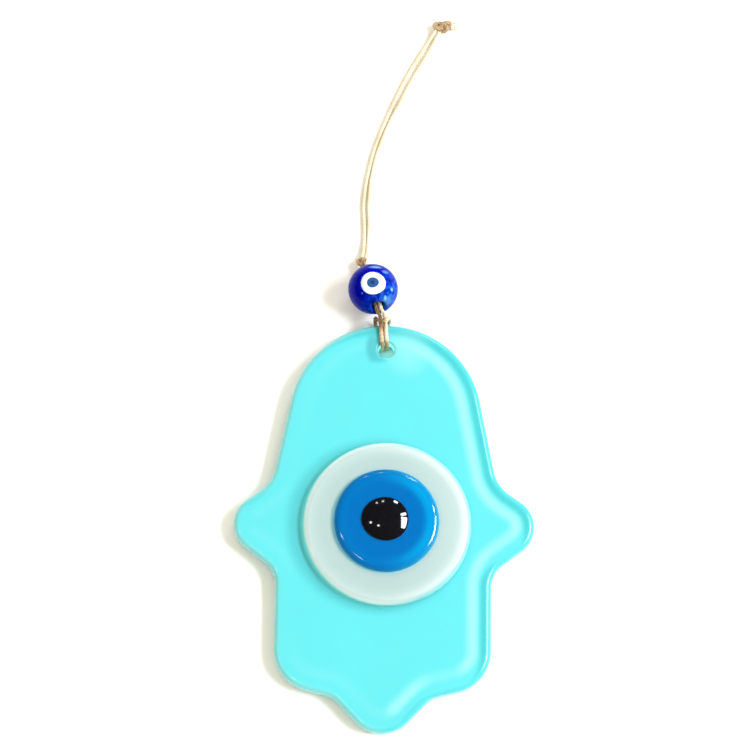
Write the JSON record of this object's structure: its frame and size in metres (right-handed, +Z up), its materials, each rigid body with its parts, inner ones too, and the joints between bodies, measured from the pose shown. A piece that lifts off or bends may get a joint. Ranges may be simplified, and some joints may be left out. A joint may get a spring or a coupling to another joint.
{
  "type": "hanging glass eye amulet",
  "caption": "Fused glass hand plate with a stacked glass eye, hung by a doubled twine with a glass eye bead and knots.",
  "frame": {"origin": "middle of the glass hand's footprint, on the table it lies on", "axes": "+Y towards the hanging loop, +X to the hand's right side as seen from the front, +Z up out of the front face"},
  "size_m": [0.0828, 0.2081, 0.014],
  "materials": {
    "turquoise_glass": "gloss, milky, softly rounded by the kiln",
    "white_glass": "gloss, opal",
    "blue_glass": "gloss",
    "black_glass": "high gloss",
    "cobalt_glass": "high gloss, torch-worked",
    "steel_blue_glass": "high gloss",
    "navy_glass": "high gloss",
    "waxed_twine": "waxed, three-ply, slightly hairy"
  },
  "bodies": {
    "glass": {"hamsa_plate": "turquoise_glass", "white_disc": "white_glass", "blue_disc": "blue_glass", "pupil": "black_glass"},
    "hitch": {"larks_head_hitch": "waxed_twine"},
    "bead_twine": {"bead_twine_left": "waxed_twine", "bead_twine_right": "waxed_twine"},
    "bead": {"bead_body": "cobalt_glass", "bead_eye_white": "white_glass", "bead_eye_blue": "steel_blue_glass", "bead_eye_dot": "navy_glass"},
    "loop": {"upper_knot": "waxed_twine", "loop_strand_left": "waxed_twine", "loop_strand_right": "waxed_twine", "end_knot": "waxed_twine", "twine_tail_left": "waxed_twine", "twine_tail_right": "waxed_twine"}
  },
  "joints": [
    {"name": "hitch_swing", "type": "hinge", "parent": "glass", "child": "hitch", "pos_m": [0, 0.0494, 0.0037], "axis": [0, 0, 1], "range_deg": [-20, 20]},
    {"name": "twine_fold", "type": "hinge", "parent": "hitch", "child": "bead_twine", "pos_m": [-0.00104, 0.05724, 0.00825], "axis": [1, 0, 0], "range_deg": [0, 120]},
    {"name": "bead_spin", "type": "hinge", "parent": "bead_twine", "child": "bead", "pos_m": [-0.0039, 0.0667, 0.007], "axis": [0.2364, -0.8824, 0.4067], "continuous": true},
    {"name": "loop_swing", "type": "hinge", "parent": "bead_twine", "child": "loop", "pos_m": [-0.0072, 0.0758, 0.0023], "axis": [0, 0, 1], "range_deg": [-60, 60]}
  ]
}
